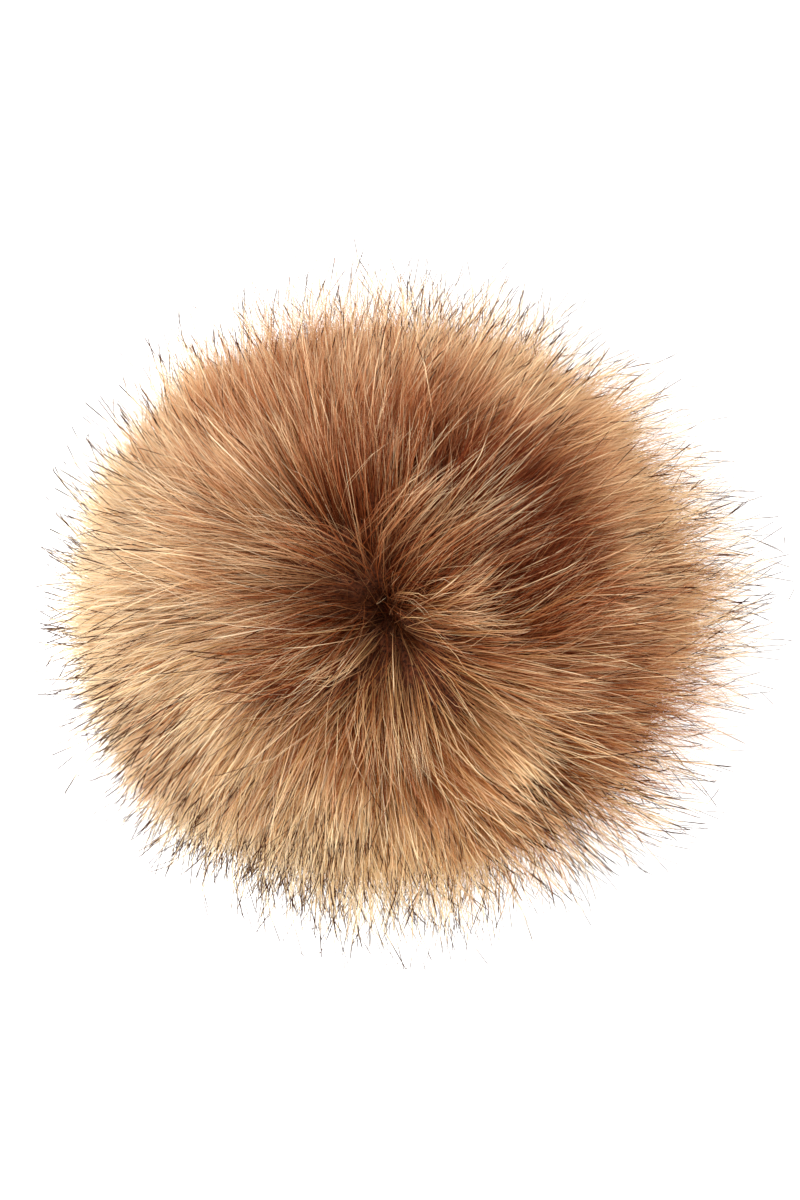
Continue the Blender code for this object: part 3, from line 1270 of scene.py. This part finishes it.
@dataclass(frozen=True)
class FeltFinish:
    """The finish of the felted hair at the roots: dark brown, mottled and rough; the brown is the roots'
    colour darkened partly as painted shade of the deep pile, and its hollows are darker still as painted
    shade.

    Args:
        name: the material's name.
        dark: the colour of its hollows, in linear light, darkened as painted shade.
        light: the colour of its heights.
        mottled_part: the heights of the noise where the dark ends and the light begins.
        grain: the noise's scale.
        detail: how fine the noise goes.
        roughness: of the shine.
        shine: the specular level.
        relief: how strongly the noise shows as relief.
        relief_depth: how deep that relief is.
    """

    name: str
    dark: Colour = (0.020, 0.005, 0.002, 1.0)
    light: Colour = (0.12, 0.034, 0.013, 1.0)
    mottled_part: Span = (0.35, 0.7)
    grain: float = 1400.0
    detail: float = 5.0
    roughness: float = 0.9
    shine: float = 0.1
    relief: float = 0.8
    relief_depth: float = 0.4 * MM

    def material(self) -> bpy.types.Material:
        """Builds the material.

        Returns:
            The material.
        """
        material = bpy.data.materials.new(self.name)
        material.use_nodes = True
        nodes, links = material.node_tree.nodes, material.node_tree.links
        surface = nodes["Principled BSDF"]
        surface.inputs["Roughness"].default_value = self.roughness
        surface.inputs["Specular IOR Level"].default_value = self.shine
        place = nodes.new("ShaderNodeTexCoord")
        mottle = nodes.new("ShaderNodeTexNoise")
        mottle.inputs["Scale"].default_value = self.grain
        mottle.inputs["Detail"].default_value = self.detail
        ramp = nodes.new("ShaderNodeValToRGB")
        for element, position, colour in zip(
            ramp.color_ramp.elements, self.mottled_part, (self.dark, self.light)
        ):
            element.position = position
            element.color = colour
        bump = nodes.new("ShaderNodeBump")
        bump.inputs["Strength"].default_value = self.relief
        bump.inputs["Distance"].default_value = self.relief_depth
        links.new(place.outputs["Object"], mottle.inputs["Vector"])
        # The noise both raises the relief and darkens its hollows: mottle, with painted shade in the hollows.
        links.new(mottle.outputs["Fac"], ramp.inputs["Fac"])
        links.new(ramp.outputs["Color"], surface.inputs["Base Color"])
        links.new(mottle.outputs["Fac"], bump.inputs["Height"])
        links.new(bump.outputs["Normal"], surface.inputs["Normal"])
        return material


@dataclass
class DensePile:
    """The mass of hair too deep to see strand by strand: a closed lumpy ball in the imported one's place.

    Args:
        pelt: the way the pelt lies.
        share: the share of the reach that it fills.
        lump: how high its lumps stand.
        lump_edge: the cosine of the angle between a lump's middle and its edge.
        lump_slope: how far that cosine changes over the slope.
        lump_by_tone: how much higher the lumps of pale tufts stand.
        crease_depth: how deep the gather's crease is cut.
        crease_width: half the crease's width.
        clearance: how high its underside lies.
        subdivisions: how often the starting ball is divided.
    """

    pelt: Pelt
    share: float = 0.66
    lump: float = 1.6 * MM
    lump_edge: float = 0.9985
    lump_slope: float = 0.0015
    lump_by_tone: float = 3.4
    crease_depth: float = 7.0 * MM
    crease_width: float = 1.9 * MM
    clearance: float = 0.4 * MM
    subdivisions: int = 6

    def build(self) -> bpy.types.Object:
        """Builds and dresses the piece.

        Returns:
            The piece.
        """
        shell = bmesh.new()
        bmesh.ops.create_icosphere(shell, subdivisions=self.subdivisions, radius=1.0)
        ways = unit(np.array([corner.co[:] for corner in shell.verts]))
        for corner, place in zip(shell.verts, self.places(ways)):
            corner.co = Vector(place)
        mesh = bpy.data.meshes.new("dense_pile")
        shell.to_mesh(mesh)
        shell.free()
        mesh.polygons.foreach_set("use_smooth", np.ones(len(mesh.polygons), bool))
        # Its dark brown stands partly for painted shade deep in the pile.
        mesh.materials.append(FeltFinish("felted_roots_and_shade").material())
        piece = bpy.data.objects.new("dense_pile", mesh)
        bpy.context.scene.collection.objects.link(piece)
        return piece

    def places(self, ways: np.ndarray) -> np.ndarray:
        """The places of its surface in some directions.

        Args:
            ways: directions from the ball's middle.

        Returns:
            A place for each.
        """
        form = self.pelt.form
        tuft = self.pelt.nearest(ways, self.pelt.tuft_roots)
        close = dots(ways, self.pelt.tuft_roots[tuft])
        bulge = np.clip((close - self.lump_edge) / self.lump_slope, -1.0, 1.0)
        lumps = self.lump * (bulge + self.lump_by_tone * self.pelt.tuft_tone[tuft])
        _, distance = form.off_crease(ways)
        on_top = ways[:, 2] > 0.0
        cut = self.crease_depth * np.exp(-((distance / self.crease_width) ** 2)) * on_top
        out = form.skin(ways, self.share) + lumps - cut
        return form.settled(np.array(form.centre) + ways * out[:, None], self.clearance)


@dataclass
class PomPom:
    """The whole pom pom: its dense pile and its layers of hair.

    Args:
        pelt: the way the pelt lies.
    """

    pelt: Pelt = field(default_factory=Pelt)

    def layers(self) -> list[HairLayer]:
        """The layers, from the common hair to the rare.

        Returns:
            The layers.
        """
        return [
            HairLayer(
                layer=Layer.UNDERFUR, count=88000, points=4, ends=(0.77, 0.836), ends_skew=0.9,
                dark_extra=0.0, width=0.17 * MM, tip_width=0.13 * MM, dark_width=1.0, tuft_pull=0.8,
                lean_spread=math.radians(4.0), sway_spread=math.radians(6.0), bend=1.1 * MM,
                frizz=0.30 * MM, tone=0.56, tone_spread=0.06, pale_and_highlit_strands=0.0, dark_tips=0.0,
                follows_dense=1.0, tuft_contrast=1.0, length_contrast=0.5, pieces=3, seed=11,
            ),
            HairLayer(
                layer=Layer.GUARD, count=30000, points=6, ends=(0.77, 0.96), ends_skew=3.0,
                dark_extra=0.06, width=0.12 * MM, tip_width=0.05 * MM, dark_width=1.7, tuft_pull=1.0,
                lean_spread=math.radians(4.5), sway_spread=math.radians(6.5), bend=1.8 * MM,
                frizz=0.20 * MM, tone=0.60, tone_spread=0.33, pale_and_highlit_strands=0.16, dark_tips=0.23,
                follows_dense=0.8, tuft_contrast=1.6, length_contrast=1.0, pieces=2, seed=12,
                rim_thinned=0.52,
            ),
            HairLayer(
                layer=Layer.STRAY, count=12000, points=6, ends=(0.90, 1.09), ends_skew=1.5,
                dark_extra=0.0, width=0.11 * MM, tip_width=0.06 * MM, dark_width=1.1, tuft_pull=0.7,
                lean_spread=math.radians(7.0), sway_spread=math.radians(13.0), bend=3.0 * MM,
                frizz=0.30 * MM, tone=0.72, tone_spread=0.20, pale_and_highlit_strands=0.15, dark_tips=0.85,
                follows_dense=0.2, tuft_contrast=1.0, length_contrast=1.0, pieces=1, seed=13,
            ),
            HairLayer(
                layer=Layer.WISP, count=2000, points=6, ends=(0.56, 0.76), ends_skew=1.0,
                dark_extra=0.0, width=0.08 * MM, tip_width=0.04 * MM, dark_width=1.0, tuft_pull=0.3,
                lean_spread=math.radians(18.0), sway_spread=math.radians(40.0), bend=1.4 * MM,
                frizz=0.15 * MM, tone=0.26, tone_spread=0.24, pale_and_highlit_strands=0.03, dark_tips=0.0,
                follows_dense=0.0, tuft_contrast=1.0, length_contrast=1.0, pieces=1, seed=14,
                cone=math.radians(15),
            ),
        ]

    def build(self) -> None:
        """Builds every piece with its finish, sets what it rides on, and logs its number of faces."""
        core = DensePile(self.pelt).build()
        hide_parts(FRAME_NODE)
        pieces = [core]
        hair = HairFinish("hair").material()
        for layer in self.layers():
            pieces += layer.grow(self.pelt, hair)
        for piece in pieces:
            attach(piece, BODY)
            LOG.info("%s: %d faces", piece.name, len(piece.data.polygons))


@dataclass(frozen=True)
class Studio:
    """The pale floor, the soft light and the camera straight above.

    Args:
        look_height: the height of the ball's widest level.
        distance: from the camera to that level.
        lens: focal length in millimetres.
        picture_height: the height in millimetres of the picture that this length is for.
        offset: how far the camera stands from the ball's middle, in x and y.
        floor_half: half the floor's side.
        floor_shade: how pale the floor is.
        floor_glow: how much light of its own the floor gives off, so that it shows as white.
        sky_strength: the light from all round.
        lamp_power: the lamp's power in watts.
        lamp_side: the length of its square's side.
        lamp_distance: from the lamp to the origin.
        lamp_azimuth: the lamp's direction, from +X, seen from above.
        lamp_rise: its angle over the floor.
    """

    look_height: float = 52.0 * MM
    distance: float = 1.0
    lens: float = 150.0
    picture_height: float = 36.0
    offset: tuple[float, float] = (-2.4 * MM, 0.6 * MM)
    floor_half: float = 4.0
    floor_shade: float = 0.9
    floor_glow: float = 0.35
    sky_strength: float = 1.40
    lamp_power: float = 38.0
    lamp_side: float = 1.8
    lamp_distance: float = 1.6
    lamp_azimuth: float = math.radians(172.0)
    lamp_rise: float = math.radians(50.0)

    def build(self, form: BallForm) -> None:
        """Adds the floor, the lights and the camera.

        Args:
            form: the ball's form.
        """
        self.floor()
        self.sky()
        self.lamp()
        self.camera(form)
        bpy.context.scene.view_settings.view_transform = "Standard"

    def floor(self) -> None:
        """Adds the plain pale floor."""
        mesh = bpy.data.meshes.new("floor")
        half = self.floor_half
        corners = [(-half, -half, 0.0), (half, -half, 0.0), (half, half, 0.0), (-half, half, 0.0)]
        mesh.from_pydata(corners, [], [range(4)])
        material = bpy.data.materials.new("floor_paper")
        material.use_nodes = True
        surface = material.node_tree.nodes["Principled BSDF"]
        surface.inputs["Base Color"].default_value = (self.floor_shade,) * 3 + (1.0,)
        surface.inputs["Roughness"].default_value = 1.0
        surface.inputs["Specular IOR Level"].default_value = 0.0
        surface.inputs["Emission Color"].default_value = WHITE
        surface.inputs["Emission Strength"].default_value = self.floor_glow
        mesh.materials.append(material)
        floor = bpy.data.objects.new("floor", mesh)
        bpy.context.scene.collection.objects.link(floor)

    def sky(self) -> None:
        """Adds the even white light all round."""
        world = bpy.data.worlds.new("studio")
        world.use_nodes = True
        light = world.node_tree.nodes["Background"]
        light.inputs["Color"].default_value = WHITE
        light.inputs["Strength"].default_value = self.sky_strength
        bpy.context.scene.world = world

    def lamp(self) -> None:
        """Adds a broad soft lamp that looks at the pom pom."""
        light = bpy.data.lights.new("window", "AREA")
        light.energy = self.lamp_power
        light.size = self.lamp_side
        around, rise = self.lamp_azimuth, self.lamp_rise
        away = Vector((math.cos(around) * math.cos(rise), math.sin(around) * math.cos(rise), math.sin(rise)))
        lamp = bpy.data.objects.new("window", light)
        lamp.location = away * self.lamp_distance
        lamp.rotation_euler = away.to_track_quat("Z", "Y").to_euler()
        bpy.context.scene.collection.objects.link(lamp)

    def camera(self, form: BallForm) -> None:
        """Adds the camera straight above, upright as the picture is.

        Args:
            form: the ball's form.
        """
        lens = bpy.data.cameras.new("camera")
        lens.sensor_fit = "VERTICAL"
        lens.sensor_height = self.picture_height
        lens.sensor_width = self.picture_height
        lens.lens = self.lens
        camera = bpy.data.objects.new("camera", lens)
        camera.location = (
            form.centre[0] + self.offset[0],
            form.centre[1] + self.offset[1],
            self.look_height + self.distance,
        )
        bpy.context.scene.collection.objects.link(camera)
        bpy.context.scene.camera = camera


def main() -> None:
    """Builds the pom pom and its studio."""
    logging.basicConfig(level=logging.INFO, format="%(name)s: %(message)s")
    pom_pom = PomPom()
    pom_pom.build()
    Studio().build(pom_pom.pelt.form)


if __name__ == "__main__":
    main()
